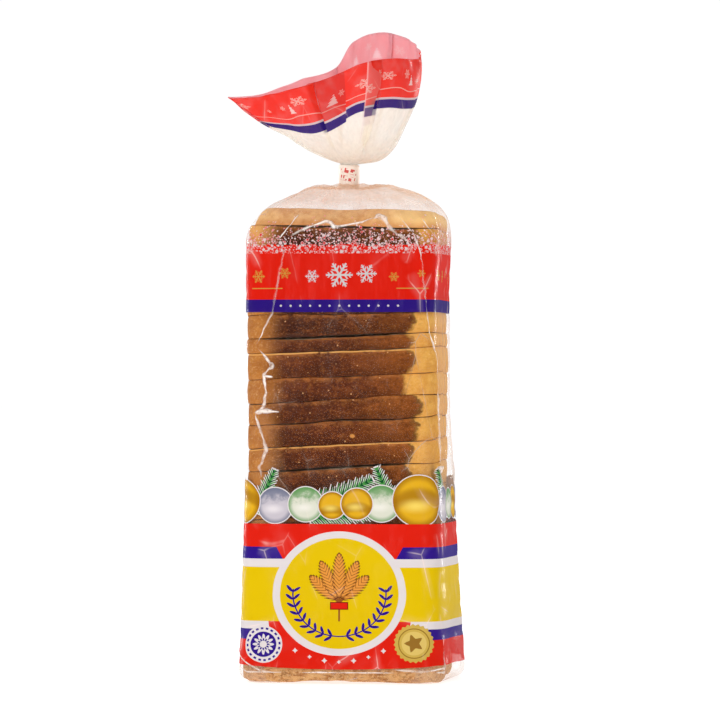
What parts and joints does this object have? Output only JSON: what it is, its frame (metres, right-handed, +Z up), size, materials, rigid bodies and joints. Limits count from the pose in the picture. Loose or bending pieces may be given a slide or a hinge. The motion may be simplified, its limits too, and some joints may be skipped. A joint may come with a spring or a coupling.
{
  "type": "loaf in bread bag",
  "caption": "Sliced sandwich loaf on end in a clear printed film bag, gathered into a taped neck, with the open mouth of the bag flaring out above.",
  "frame": {"origin": "middle of the flat base that the loaf stands on, on the axis of the neck", "axes": "+Z up along the loaf and through the neck, -Y out of the printed front, where the top crust of the loaf is, +X to the right as seen from the front"},
  "size_m": [0.1189, 0.1, 0.3242],
  "materials": {
    "film": "thin clear plastic film with a glossy surface and flat bands of print, over the bread",
    "crust": "baked crust, dark brown on the top of the loaf, golden on its sides and ends",
    "crumb": "pale, finely porous cut crumb",
    "tape": "off-white paper tape with red dashes"
  },
  "bodies": {
    "root": {"bag": "film", "neck_tape": "tape"}
  },
  "joints": []
}
